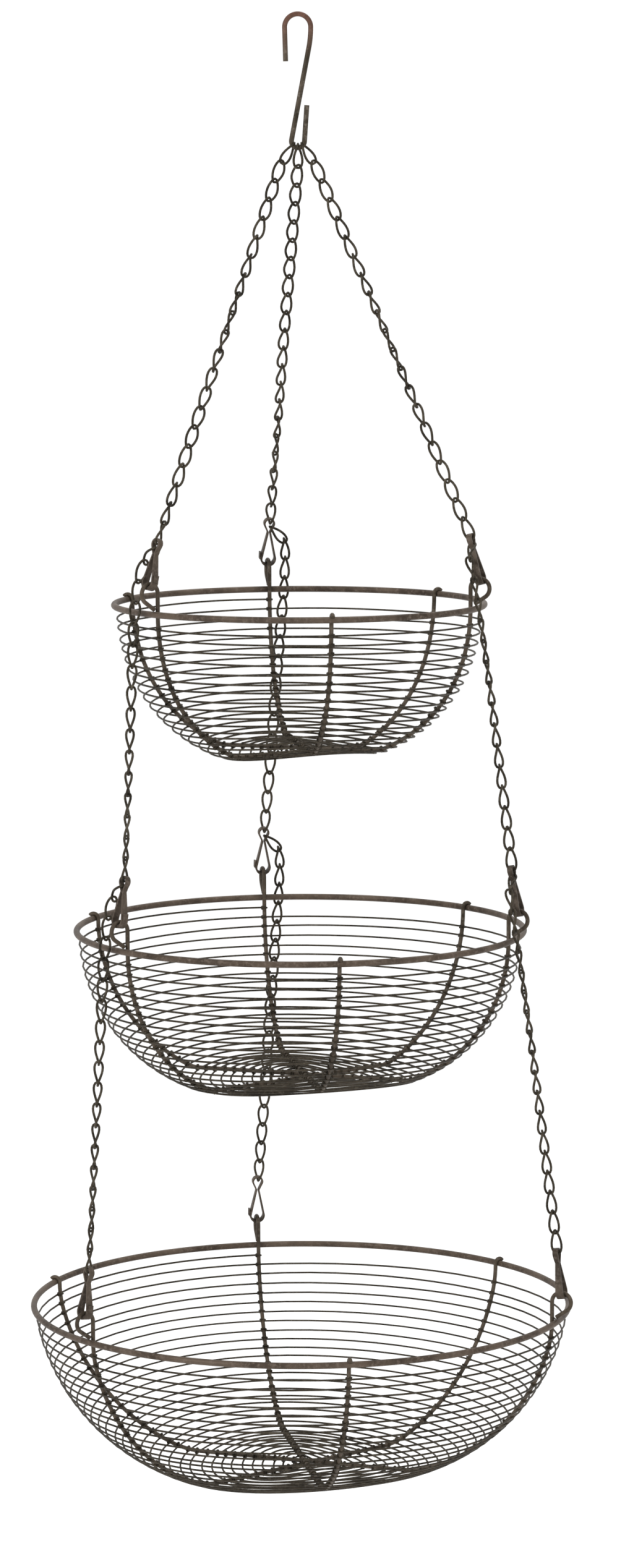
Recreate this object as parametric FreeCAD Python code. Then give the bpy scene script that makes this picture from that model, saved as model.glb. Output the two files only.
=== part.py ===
import FreeCAD, Part
import math
import os
from FreeCAD import Matrix, Vector

# Three-tier hanging wire basket. Millimetres, +Z up. The origin is the point inside the upper
# bend of the S-hook that rests on whatever holds the basket up. -Y is the front.
# Azimuths are in degrees from the front, -Y, turning towards +X, the right-hand side.

# ---- driving dimensions -------------------------------------------------------------------

# S-hook, bent from one round wire in the XZ plane
HOOK_WIRE = 2.8
HOOK_TOP_RADIUS = 7.2
HOOK_TIP_LENGTH = 18.5
HOOK_TIP_LEAN = 1.5
HOOK_SHOULDER_RADIUS = 60.0
HOOK_LEAN = 10.86
HOOK_HEIGHT = 76.0
HOOK_EYE_RADIUS = 3.6
HOOK_EYE_LEG = 20.0
HOOK_EYE_LEAN = 4.0

# Twist-link chain: each link is an oval wire loop with a quarter turn from end to end
LINK_WIRE = 1.4
LINK_WIDTH = 7.2
LINK_LENGTH = 14.7
LINK_PLAY = 0.2

# Spring clips, each a flat strip bent into a closed pear shape
CLIP_STRIP = 1.0
CLIP_HEIGHT = 29.0
CLIP_EYE_RADIUS = 3.3
CLIP_NECK_HALF = 1.15
CLIP_NECK_DROP = 8.6
CLIP_LOOP_RADIUS = 4.5
CLIP_TOP_WIDTH = 3.0
CLIP_NECK_WIDTH = 2.6
CLIP_FOOT_WIDTH = 4.4
CLIP_TAB = (0.7, 3.0, 4.0)
CLIP_TAB_SINK = 0.3
CLIP_PLAY_AT_LUG = 1.4
CLIP_PLAY_AT_EYE = 0.8

# Baskets, from the top one down
TIERS = ("top", "middle", "bottom")
RIM_RADIUS = {"top": 103.5, "middle": 126.0, "bottom": 152.0}
RIM_HEIGHT = {"top": -325.0, "middle": -509.0, "bottom": -723.5}
BOWL_DEPTH = {"top": 83.0, "middle": 85.0, "bottom": 95.0}
FLAT_RADIUS = {"top": 44.0, "middle": 62.0, "bottom": 61.0}
SHOULDER_SHARE = {"top": 1.0, "middle": 1.07, "bottom": 1.23}
WALL_TURN = 17.0
FLOOR_TURN = 22.0
CLIP_TILT = {"top": 14.0, "middle": 10.0, "bottom": 7.5}
RIM_WIRE = 3.5
HOOP_WIRE = 2.35
WEAVE_WIRE = 1.1
WEAVE_WIRE_SIDES = 6
ROW_PITCH = 5.85
STEP_WIRE = 0.8
STEP_AZIMUTH = 213.0
STEP_TURN = 9.0
LUG_HEIGHT = 17.0
LUG_RADIUS = 5.5
LUG_FOOT = -0.3
HOOP_END_TURN = 140.0
WELD = 0.15

# Azimuths of the three chains, which are also those of the lugs that the clips hold
SIDES = {"left": -50.0, "right": 70.0, "rear": 190.0}

# How the three first links sit on the hook's eye and how they spread below it, in degrees
HOOK_GRIP_SPREAD = 60.0
HOOK_LINK_SPREAD = 32.0
HOOK_SLOTS = {"left": -1, "rear": 0, "right": 1}

# Where a chain goes past the basket that it has just held: beside the clip, then over the rim
PASS_BESIDE_CLIP = 10.3
PASS_NEAR_EYE = 7.8
PASS_EYE_DROP = 9.0
PASS_EYE_SHARE = 0.2
PASS_LEAN_IN = 2.5
PASS_CLEAR_OF_RIM = 0.5

# ---- derived dimensions -------------------------------------------------------------------

LINK_BOW = (LINK_WIDTH - LINK_WIRE) / 2
LINK_SPAN = LINK_LENGTH - LINK_WIRE
LINK_HALF = LINK_SPAN / 2 - LINK_BOW
LINK_PITCH = LINK_SPAN - LINK_WIRE - LINK_PLAY
CLIP_TOP = CLIP_HEIGHT - HOOP_WIRE / 2 - CLIP_PLAY_AT_LUG - CLIP_STRIP
# A flat strip sits across the round bow of a link with its two edges on the wire
BOW_INSIDE = LINK_BOW - LINK_WIRE / 2
STRIP_SEAT = LINK_BOW - math.sqrt(BOW_INSIDE ** 2 - (CLIP_TOP_WIDTH / 2) ** 2)
UPPER_BOW_UP = CLIP_TOP - CLIP_STRIP - STRIP_SEAT - CLIP_PLAY_AT_EYE
LOWER_BOW_UP = UPPER_BOW_UP - LINK_WIRE - 2 * LINK_PLAY
HOOP_INSET = (RIM_WIRE + HOOP_WIRE) / 2 - WELD
WEAVE_OUT = (HOOP_WIRE + WEAVE_WIRE) / 2 - WELD

X = Vector(1, 0, 0)
Z = Vector(0, 0, 1)


def outward(azimuth):
    angle = math.radians(azimuth)
    return Vector(math.sin(angle), -math.cos(angle), 0)


def sideways(azimuth):
    angle = math.radians(azimuth)
    return Vector(math.cos(angle), math.sin(angle), 0)


def on_axes(shape, x_axis, y_axis, z_axis, origin):
    """A copy of the shape with its own axes laid along the three given ones."""
    copy = shape.copy()
    copy.Placement = FreeCAD.Placement(Matrix(
        x_axis.x, y_axis.x, z_axis.x, origin.x,
        x_axis.y, y_axis.y, z_axis.y, origin.y,
        x_axis.z, y_axis.z, z_axis.z, origin.z,
        0, 0, 0, 1,
    ))
    return copy


def flat(x, z):
    """A point of an outline drawn in the XZ plane."""
    return Vector(x, 0, z)


def arc(centre, radius, start, end):
    """An arc in the XZ plane, between angles in degrees from +X towards +Z."""
    def at(degrees):
        angle = math.radians(degrees)
        return centre + flat(radius * math.cos(angle), radius * math.sin(angle))
    return Part.Arc(at(start), at((start + end) / 2), at(end)).toShape()


def line(start, end):
    return Part.LineSegment(start, end).toShape()


def wire_along(edges, diameter):
    """A round wire bent along edges that follow each other smoothly."""
    path = Part.Wire(edges)
    first = edges[0]
    start = first.valueAt(first.FirstParameter)
    along = first.tangentAt(first.FirstParameter)
    section = Part.Wire([Part.makeCircle(diameter / 2, start, along)])
    return path.makePipeShell([section], True, False)


def tangent_angle(point, centre, radius, side):
    """The angle on a circle where a line from the point touches it, side being +1 or -1."""
    away = point - centre
    open_angle = math.degrees(math.acos(radius / away.Length))
    return math.degrees(math.atan2(away.z, away.x)) + side * open_angle


def around(centre, radius, degrees):
    angle = math.radians(degrees)
    return centre + flat(radius * math.cos(angle), radius * math.sin(angle))


# ---- S-hook ---------------------------------------------------------------------------------

HOOK_TOP_CENTRE = flat(0, HOOK_WIRE / 2 - HOOK_TOP_RADIUS)
HOOK_EYE_HEIGHT = 1.5 * HOOK_WIRE - HOOK_HEIGHT + HOOK_EYE_RADIUS


def hook_eye_centre():
    """The centre of the lower bend, which the slanting shank meets as a tangent."""
    shoulder = HOOK_TOP_CENTRE + flat(HOOK_TOP_RADIUS - HOOK_SHOULDER_RADIUS, 0)
    shank_top = around(shoulder, HOOK_SHOULDER_RADIUS, -HOOK_LEAN)
    lean = math.radians(HOOK_LEAN)
    touch_height = HOOK_EYE_HEIGHT + HOOK_EYE_RADIUS * math.sin(lean)
    touch_x = shank_top.x - (shank_top.z - touch_height) * math.tan(lean)
    return flat(touch_x + HOOK_EYE_RADIUS * math.cos(lean), HOOK_EYE_HEIGHT)


def s_hook():
    eye = hook_eye_centre()
    shoulder = HOOK_TOP_CENTRE + flat(HOOK_TOP_RADIUS - HOOK_SHOULDER_RADIUS, 0)
    top_left = around(HOOK_TOP_CENTRE, HOOK_TOP_RADIUS, 180 + HOOK_TIP_LEAN)
    tip_lean = math.radians(HOOK_TIP_LEAN)
    tip = top_left - flat(-math.sin(tip_lean), math.cos(tip_lean)) * HOOK_TIP_LENGTH
    shank_top = around(shoulder, HOOK_SHOULDER_RADIUS, -HOOK_LEAN)
    shank_foot = around(eye, HOOK_EYE_RADIUS, 180 - HOOK_LEAN)
    leg_foot = around(eye, HOOK_EYE_RADIUS, 360 - HOOK_EYE_LEAN)
    leg_lean = math.radians(HOOK_EYE_LEAN)
    leg_tip = leg_foot + flat(math.sin(leg_lean), math.cos(leg_lean)) * HOOK_EYE_LEG
    edges = [
        line(tip, top_left),
        arc(HOOK_TOP_CENTRE, HOOK_TOP_RADIUS, 180 + HOOK_TIP_LEAN, 0),
        arc(shoulder, HOOK_SHOULDER_RADIUS, 0, -HOOK_LEAN),
        line(shank_top, shank_foot),
        arc(eye, HOOK_EYE_RADIUS, 180 - HOOK_LEAN, 360 - HOOK_EYE_LEAN),
        line(leg_foot, leg_tip),
    ]
    return wire_along(edges, HOOK_WIRE)


# ---- chain ----------------------------------------------------------------------------------


def twisted_link():
    """One link about the origin: its lower bow lies in the XZ plane and its upper in the YZ."""
    low = flat(0, -LINK_HALF)
    lower_bow = wire_along([arc(low, LINK_BOW, 180, 360)], LINK_WIRE)
    upper_bow = wire_along([arc(low, LINK_BOW, 180, 360)], LINK_WIRE)
    upper_bow.rotate(Vector(0, 0, 0), X, 180)
    upper_bow.rotate(Vector(0, 0, 0), Z, 90)
    link = lower_bow.fuse(upper_bow)
    for side in (1, -1):
        foot = Vector(side * LINK_BOW, 0, -LINK_HALF)
        head = Vector(0, side * LINK_BOW, LINK_HALF)
        leg = Part.makeCylinder(LINK_WIRE / 2, (head - foot).Length, foot, head - foot)
        for corner in (foot, head):
            leg = leg.fuse(Part.makeSphere(LINK_WIRE / 2, corner))
        link = link.fuse(leg)
    return link.removeSplitter().Solids[0]


LINK = twisted_link()


def place_link(top, bottom, bow_angle):
    """A link between two points of its wire, its lower bow in the upright plane at bow_angle."""
    up = (top - bottom).normalize()
    angle = math.radians(bow_angle)
    wanted = Vector(math.cos(angle), math.sin(angle), 0)
    x_axis = (wanted - up * wanted.dot(up)).normalize()
    return on_axes(LINK, x_axis, up.cross(x_axis), up, (top + bottom) / 2)


def point_along(route, distance):
    for start, end in zip(route, route[1:]):
        run = (end - start).Length
        if distance < run:
            return start + (end - start) * (distance / run)
        distance -= run
    return route[-1]


def chain(route, first_angle, last_angle):
    """Links from the first wire point of the route to the last, turning evenly on the way."""
    length = sum((b - a).Length for a, b in zip(route, route[1:]))
    count = math.ceil((length - LINK_SPAN) / LINK_PITCH) + 1
    pitch = (length - LINK_SPAN) / (count - 1)
    links = []
    for k in range(count):
        top = point_along(route, k * pitch)
        bottom = point_along(route, k * pitch + LINK_SPAN)
        turn = first_angle + (last_angle - first_angle) * k / (count - 1)
        links.append(place_link(top, bottom, turn))
    print("links", count, "pitch", round(pitch, 2))
    return Part.makeCompound(links)


# ---- clips ----------------------------------------------------------------------------------


def pear(inset, width):
    """A clip's outline, this far inside its outer face, as a solid with its width along Y."""
    loop_radius = CLIP_LOOP_RADIUS - inset
    eye_radius = CLIP_EYE_RADIUS - inset
    loop_centre = flat(0, CLIP_TOP - CLIP_HEIGHT + CLIP_LOOP_RADIUS)
    eye_centre = flat(0, CLIP_TOP - CLIP_EYE_RADIUS)
    neck = flat(CLIP_NECK_HALF - inset, CLIP_TOP - CLIP_NECK_DROP)
    low = tangent_angle(neck, loop_centre, loop_radius, -1)
    high = tangent_angle(neck, eye_centre, eye_radius, 1)
    left_neck = flat(-neck.x, neck.z)
    outline = [
        arc(loop_centre, loop_radius, -180 - low, low),
        line(around(loop_centre, loop_radius, low), neck),
        line(neck, around(eye_centre, eye_radius, high)),
        arc(eye_centre, eye_radius, high, 180 - high),
        line(around(eye_centre, eye_radius, 180 - high), left_neck),
        line(left_neck, around(loop_centre, loop_radius, 180 - low)),
    ]
    face = Part.Face(Part.Wire(Part.__sortEdges__(outline)))
    solid = face.extrude(Vector(0, width, 0))
    solid.translate(Vector(0, -width / 2, 0))
    return solid


def clip_strip():
    """A clip about its lug wire's centre, wide at the foot and narrow at the neck."""
    band = pear(0, CLIP_FOOT_WIDTH).cut(pear(CLIP_STRIP, 2 * CLIP_FOOT_WIDTH))
    top = CLIP_TOP
    foot = top - CLIP_HEIGHT
    widths = (
        (foot, CLIP_FOOT_WIDTH),
        (foot + CLIP_LOOP_RADIUS, CLIP_FOOT_WIDTH),
        (top - CLIP_NECK_DROP, CLIP_NECK_WIDTH),
        (top - CLIP_EYE_RADIUS, CLIP_TOP_WIDTH),
        (top, CLIP_TOP_WIDTH),
    )
    side = [Vector(0, width / 2, z) for z, width in widths]
    side += [Vector(0, -width / 2, z) for z, width in reversed(widths)]
    plate = Part.Face(Part.makePolygon(side + side[:1]))
    block = plate.extrude(Vector(4 * CLIP_LOOP_RADIUS, 0, 0))
    block.translate(Vector(-2 * CLIP_LOOP_RADIUS, 0, 0))
    band = band.common(block)
    tab_thick, tab_wide, tab_long = CLIP_TAB
    tab = Part.makeBox(tab_thick + CLIP_TAB_SINK, tab_wide, tab_long)
    tab.translate(Vector(CLIP_LOOP_RADIUS - CLIP_TAB_SINK, -tab_wide / 2, foot + CLIP_LOOP_RADIUS))
    return band.fuse(tab).removeSplitter().Solids[0]


CLIP = clip_strip()


def lug_top(tier, side):
    """The centre of the lug's wire at the top of its loop, where the clip hangs on."""
    radius = RIM_RADIUS[tier] - HOOP_INSET + LUG_RADIUS
    return outward(SIDES[side]) * radius + Z * (RIM_HEIGHT[tier] + LUG_HEIGHT)


def clip_up(tier, side):
    tilt = math.radians(CLIP_TILT[tier])
    return Z * math.cos(tilt) - outward(SIDES[side]) * math.sin(tilt)


def clip(tier, side):
    up = clip_up(tier, side)
    across = sideways(SIDES[side])
    return on_axes(CLIP, across, up.cross(across), up, lug_top(tier, side))


def upper_bow(tier, side):
    """Where the chain from above ends, at the top of the clip's eye."""
    return lug_top(tier, side) + clip_up(tier, side) * UPPER_BOW_UP


def lower_bow(tier, side):
    """Where the chain to the next basket starts, in the same eye."""
    return lug_top(tier, side) + clip_up(tier, side) * LOWER_BOW_UP


# ---- baskets --------------------------------------------------------------------------------


def bowl_arcs(tier, depth):
    """Wall, shoulder and floor arcs of half a bowl's outline: (centre, radius, start, end).

    The wall starts upright at the rim, and the last arc ends level where the floor is flat.
    The turns and the shoulder's radius are given, and the other two radii follow from the size.
    """
    shoulder = SHOULDER_SHARE[tier] * depth
    flat_edge = FLAT_RADIUS[tier]
    across = RIM_RADIUS[tier] - HOOP_INSET - flat_edge
    wall_turn = math.radians(WALL_TURN)
    floor_turn = math.radians(FLOOR_TURN)
    # The shoulder's centre, reached from the wall's and from the floor's, gives two lines
    a, b = math.cos(wall_turn) - 1, -math.sin(floor_turn)
    c, d = -math.sin(wall_turn), math.cos(floor_turn) - 1
    right = -across + shoulder * (math.cos(wall_turn) - math.sin(floor_turn))
    down = -depth + shoulder * (math.cos(floor_turn) - math.sin(wall_turn))
    wall = (right * d - b * down) / (a * d - b * c)
    floor = (a * down - right * c) / (a * d - b * c)
    wall_centre = flat(flat_edge + across - wall, 0)
    shoulder_centre = around(wall_centre, wall - shoulder, -WALL_TURN)
    floor_centre = flat(flat_edge, floor - depth)
    return (
        (wall_centre, wall, 0, -WALL_TURN),
        (shoulder_centre, shoulder, -WALL_TURN, FLOOR_TURN - 90),
        (floor_centre, floor, FLOOR_TURN - 90, -90),
    )


def hoop(tier, side, level):
    """A hoop wire: its lug, down one side, across the floor, up the other and over the rim."""
    radius = RIM_RADIUS[tier]
    half_width = radius - HOOP_INSET
    depth = BOWL_DEPTH[tier] - level * (HOOP_WIRE - WELD)
    arcs = bowl_arcs(tier, depth)
    lug_centre = flat(half_width + LUG_RADIUS, LUG_HEIGHT - LUG_RADIUS)
    lug_foot = flat(radius + LUG_FOOT, HOOP_INSET)
    touch = tangent_angle(lug_foot, lug_centre, LUG_RADIUS, 1)
    edges = [
        line(lug_foot, around(lug_centre, LUG_RADIUS, touch)),
        arc(lug_centre, LUG_RADIUS, touch, 180),
        line(flat(half_width, lug_centre.z), flat(half_width, 0)),
    ]
    for centre, size, start, end in arcs:
        edges.append(arc(centre, size, start, end))
    edges.append(line(flat(FLAT_RADIUS[tier], -depth), flat(-FLAT_RADIUS[tier], -depth)))
    for centre, size, start, end in reversed(arcs):
        mirrored = flat(-centre.x, centre.z)
        edges.append(arc(mirrored, size, 180 - end, 180 - start))
    edges.append(arc(flat(-radius, 0), HOOP_INSET, 0, HOOP_END_TURN))
    shape = wire_along(edges, HOOP_WIRE)
    out = outward(SIDES[side])
    return on_axes(shape, out, Z.cross(out), Z, Z * RIM_HEIGHT[tier])


def row_points(tier):
    """Radius and height of each row of the weave, evenly spaced along the bowl's outline."""
    depth = BOWL_DEPTH[tier]
    arcs = bowl_arcs(tier, depth)
    lengths = [size * math.radians(start - end) for _, size, start, end in arcs]
    whole = sum(lengths) + FLAT_RADIUS[tier]
    rows = round(whole / ROW_PITCH) - 1
    points = []
    for k in range(1, rows + 1):
        left = k * whole / (rows + 1)
        for (centre, size, start, end), length in zip(arcs, lengths):
            if left <= length:
                angle = start + (end - start) * left / length
                points.append(around(centre, size + WEAVE_OUT, angle))
                break
            left -= length
        else:
            points.append(flat(FLAT_RADIUS[tier] - left, -depth - WEAVE_OUT))
    print(tier, "rows", rows, "along", round(whole, 1))
    return points


def row(radius, height):
    """One row of the weave: a ring of wire with a few flat sides, which keeps it light."""
    middle = flat(radius, height)
    turn = 360 / WEAVE_WIRE_SIDES
    corners = [around(middle, WEAVE_WIRE / 2, turn * k) for k in range(WEAVE_WIRE_SIDES + 1)]
    return Part.Face(Part.makePolygon(corners)).revolve(flat(0, 0), Z, 360)


def weave(tier):
    """The thin wire wound round the hoops, as rows that step from each one to the next."""
    points = row_points(tier)
    height = RIM_HEIGHT[tier]
    pieces = [row(point.x, height + point.z) for point in points]
    for k, (above, below) in enumerate(zip(points, points[1:])):
        out = outward(STEP_AZIMUTH + STEP_TURN * k)
        start = out * above.x + Z * (height + above.z)
        end = out * below.x + Z * (height + below.z)
        step = end - start
        pieces.append(Part.makeCylinder(STEP_WIRE / 2, step.Length, start, step))
    return pieces[0].multiFuse(pieces[1:])


# ---- the whole ------------------------------------------------------------------------------


def in_hook_plane(degrees):
    """A direction in the hook's plane, from straight down towards +X."""
    angle = math.radians(degrees)
    return flat(math.sin(angle), -math.cos(angle))


def hook_link_ends(side):
    """The top and bottom wire points of the first link on one side."""
    slot = HOOK_SLOTS[side]
    grip = HOOK_EYE_RADIUS - HOOK_WIRE / 2 - LINK_WIRE / 2 - LINK_PLAY / 2
    top = hook_eye_centre() + in_hook_plane(slot * HOOK_GRIP_SPREAD) * grip
    return top, top + in_hook_plane(slot * HOOK_LINK_SPREAD) * LINK_SPAN


def upright_angle(azimuth):
    """The azimuth's direction from +X, taken within a quarter turn either way."""
    return azimuth % 180 - 90


def route_past(upper_tier, lower_tier, side):
    """From one basket's clip, beside the clip and over the rim, to the next basket's clip."""
    out = outward(SIDES[side])
    beside = sideways(SIDES[side]) * -1
    start = lower_bow(upper_tier, side)
    end = upper_bow(lower_tier, side)
    clear = RIM_RADIUS[upper_tier] + RIM_WIRE / 2 + LINK_WIDTH / 2 + PASS_CLEAR_OF_RIM
    rim_pass = out * clear + Z * RIM_HEIGHT[upper_tier] + beside * PASS_BESIDE_CLIP
    towards_rim = (rim_pass - start) * PASS_EYE_SHARE
    near = start + beside * PASS_NEAR_EYE + Vector(towards_rim.x, towards_rim.y, -PASS_EYE_DROP)
    by_lug = out * (clear - PASS_LEAN_IN) + beside * PASS_BESIDE_CLIP
    by_lug = by_lug + Z * (RIM_HEIGHT[upper_tier] + LUG_HEIGHT)
    return [start, near, by_lug, rim_pass, end]


def build():
    nodes = {"s_hook": s_hook()}
    for side, azimuth in SIDES.items():
        top, bottom = hook_link_ends(side)
        nodes["hook_link_" + side] = place_link(top, bottom, 0)
        end = upper_bow("top", side)
        start = bottom + (bottom - end).normalize() * (LINK_WIRE + LINK_PLAY)
        route = [start, end]
        nodes["upper_chain_" + side] = chain(route, 0, upright_angle(azimuth))
        for name, above, below in (("middle", "top", "middle"), ("lower", "middle", "bottom")):
            route = route_past(above, below, side)
            nodes[name + "_chain_" + side] = chain(route, azimuth, azimuth - 90)
    for tier in TIERS:
        centre = Vector(0, 0, RIM_HEIGHT[tier])
        nodes[tier + "_rim"] = Part.makeTorus(RIM_RADIUS[tier], RIM_WIRE / 2, centre, Z)
        nodes[tier + "_weave"] = weave(tier)
        for level, side in enumerate(SIDES):
            nodes[tier + "_hoop_" + side] = hoop(tier, side, level)
            nodes[tier + "_clip_" + side] = clip(tier, side)
    return nodes


os.makedirs("parts", exist_ok=True)
for name, shape in build().items():
    assert shape.isValid(), name
    print(name, len(shape.Solids), round(shape.Volume, 1))
    shape.exportStep("parts/" + name + ".step")
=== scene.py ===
# %% [markdown]
# # A hanging wire basket with three tiers
#
# The real object is made of nothing but wire: an S-hook, three chains, nine spring clips and
# three round bowls. Each bowl is a thick rim ring, three hoop wires that cross under the floor,
# and one thin wire wound round and round them. The design is already fixed in the CAD frame, so
# this script loads the frame first and takes every place and size from it.

# %% Load the frame
import math

import bmesh
import bpy
import numpy as np
from mathutils import Matrix, Vector


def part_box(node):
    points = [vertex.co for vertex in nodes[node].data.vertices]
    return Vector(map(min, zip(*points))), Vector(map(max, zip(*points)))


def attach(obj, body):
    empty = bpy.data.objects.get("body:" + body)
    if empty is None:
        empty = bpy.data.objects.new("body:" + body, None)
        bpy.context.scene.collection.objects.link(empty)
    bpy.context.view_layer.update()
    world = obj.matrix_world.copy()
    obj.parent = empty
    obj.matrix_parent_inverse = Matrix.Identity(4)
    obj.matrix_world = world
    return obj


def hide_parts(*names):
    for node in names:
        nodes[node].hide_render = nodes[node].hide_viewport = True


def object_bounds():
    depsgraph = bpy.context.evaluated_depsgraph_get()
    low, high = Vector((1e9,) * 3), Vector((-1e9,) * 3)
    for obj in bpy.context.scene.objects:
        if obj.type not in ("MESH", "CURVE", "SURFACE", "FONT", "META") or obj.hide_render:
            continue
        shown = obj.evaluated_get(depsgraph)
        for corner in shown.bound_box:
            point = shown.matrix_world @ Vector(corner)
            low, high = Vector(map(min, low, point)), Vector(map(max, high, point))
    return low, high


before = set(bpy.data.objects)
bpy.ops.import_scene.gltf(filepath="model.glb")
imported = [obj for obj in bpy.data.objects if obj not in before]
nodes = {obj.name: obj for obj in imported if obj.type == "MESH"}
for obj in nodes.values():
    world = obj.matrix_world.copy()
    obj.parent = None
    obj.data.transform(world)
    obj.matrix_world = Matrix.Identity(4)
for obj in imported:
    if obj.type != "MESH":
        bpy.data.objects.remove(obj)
cad_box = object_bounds()

# %% [markdown]
# ## Sizes that the frame gives
#
# Blender works in metres. A ring's box says everything about the ring: its height is the wire's
# thickness, and half its width less half a wire is the ring's radius.

# %% Measure the rims
TIERS = ("top", "middle", "bottom")
SIDES = ("left", "right", "rear")
# Where each chain hangs, in degrees from the front, -Y, towards +X
AZIMUTH = {"left": -50.0, "right": 70.0, "rear": 190.0}
MM = 0.001


def box_of(node):
    low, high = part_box(node)
    return Vector(low), Vector(high)


def rim_of(tier):
    """Radius, height and wire thickness of a basket's rim ring."""
    low, high = box_of(tier + "_rim")
    wire = high.z - low.z
    return (high.x - low.x - wire) / 2, (high.z + low.z) / 2, wire


for tier in TIERS:
    print(tier, "rim radius, height, wire in mm:", [round(v / MM, 2) for v in rim_of(tier)])

# %% [markdown]
# ## Camera
#
# The basket hangs at arm's length from a long lens, seen from a little above the top rim. A long
# lens keeps the three bowls from looking very different in perspective. The camera looks along
# +Y and is tipped down, and a slight roll stands for a hand-held camera.

# %% Place the camera
CAMERA_DISTANCE = 2.7
CAMERA_ABOVE_TOP_RIM = 0.231
CAMERA_SIDE = 0.006
CAMERA_DOWN = math.radians(7.02)
CAMERA_ROLL = math.radians(-0.15)
CAMERA_LENS = 111.1

camera_data = bpy.data.cameras.new("camera")
camera_data.lens = CAMERA_LENS
camera_data.sensor_width = 36.0
camera_data.clip_end = 50.0
camera = bpy.data.objects.new("camera", camera_data)
camera.location = (CAMERA_SIDE, -CAMERA_DISTANCE, rim_of("top")[1] + CAMERA_ABOVE_TOP_RIM)
camera.rotation_euler = (math.pi / 2 - CAMERA_DOWN, 0.0, 0.0)
camera.rotation_euler.rotate_axis("Z", CAMERA_ROLL)
bpy.context.scene.collection.objects.link(camera)
bpy.context.scene.camera = camera
print("camera at", [round(v, 3) for v in camera.location])

# %% [markdown]
# ## Floor and light
#
# Thin dark wire reads best against an even white ground. A large floor well below the bowls and
# a white world give that ground, and the plain view transform keeps white as white. Three large
# soft lamps put a gentle highlight along the upper left of every wire, as soft boxes do.

# %% Make the floor
FLOOR_DROP = 0.35
FLOOR_HALF = 30.0

floor_z = cad_box[0][2] - FLOOR_DROP
ground = bpy.data.meshes.new("floor")
edges = (-FLOOR_HALF, FLOOR_HALF)
corners = [(x, y, floor_z) for x in edges for y in edges]
ground.from_pydata(corners, [], [(0, 2, 3, 1)])
floor = bpy.data.objects.new("floor", ground)
bpy.context.scene.collection.objects.link(floor)

floor_paint = bpy.data.materials.new("floor_paint")
floor_paint.use_nodes = True
floor_shader = floor_paint.node_tree.nodes["Principled BSDF"]
floor_shader.inputs["Base Color"].default_value = (0.97, 0.97, 0.97, 1.0)
floor_shader.inputs["Roughness"].default_value = 0.9
ground.materials.append(floor_paint)
print("floor at", round(floor_z, 3))

# %% Light the studio
WORLD_STRENGTH = 1.06

world = bpy.data.worlds.new("studio")
world.use_nodes = True
world.node_tree.nodes["Background"].inputs["Color"].default_value = (1.0, 1.0, 1.0, 1.0)
world.node_tree.nodes["Background"].inputs["Strength"].default_value = WORLD_STRENGTH
bpy.context.scene.world = world
bpy.context.scene.view_settings.view_transform = "Standard"

# Where each lamp stands, how wide it is, and its power in watts
LAMPS = {
    "key": ((-1.6, -1.9, 0.6), 0.9, 30.0),
    "fill": ((1.9, -1.6, -0.2), 1.2, 8.0),
    "top": ((0.2, 0.6, 1.3), 0.9, 16.0),
}
look_at = Vector((0.0, 0.0, (cad_box[0][2] + cad_box[1][2]) / 2))
for name, (place, size, power) in LAMPS.items():
    lamp = bpy.data.lights.new(name, "AREA")
    lamp.size = size
    lamp.energy = power
    holder = bpy.data.objects.new(name, lamp)
    holder.location = place
    holder.rotation_euler = (look_at - Vector(place)).to_track_quat("-Z", "Y").to_euler()
    bpy.context.scene.collection.objects.link(holder)
print(len(LAMPS), "lamps")

# %% [markdown]
# ## The finish: a brown patina on steel wire
#
# All the wire has one family of finish: a dark brown coating, rubbed so that it goes from almost
# black in some places to a greyed, rusty brown in others, with a satin sheen. One function makes
# the whole family. It mixes three colours with two noises, one for broad patches and one for the
# speckle, which also makes the gloss uneven. A third and finest noise lifts the surface a little,
# as a coating that has set with small lumps.

# %% The patina material
# How many times a noise repeats in a metre
PATCH_SCALE = 45.0
SPECKLE_SCALE = 420.0
GRIT_SCALE = 1100.0
LUMP_HEIGHT = 0.0002
# How far up the hook the rubbed red takes to come in
WORN_BAND = 0.022


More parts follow.
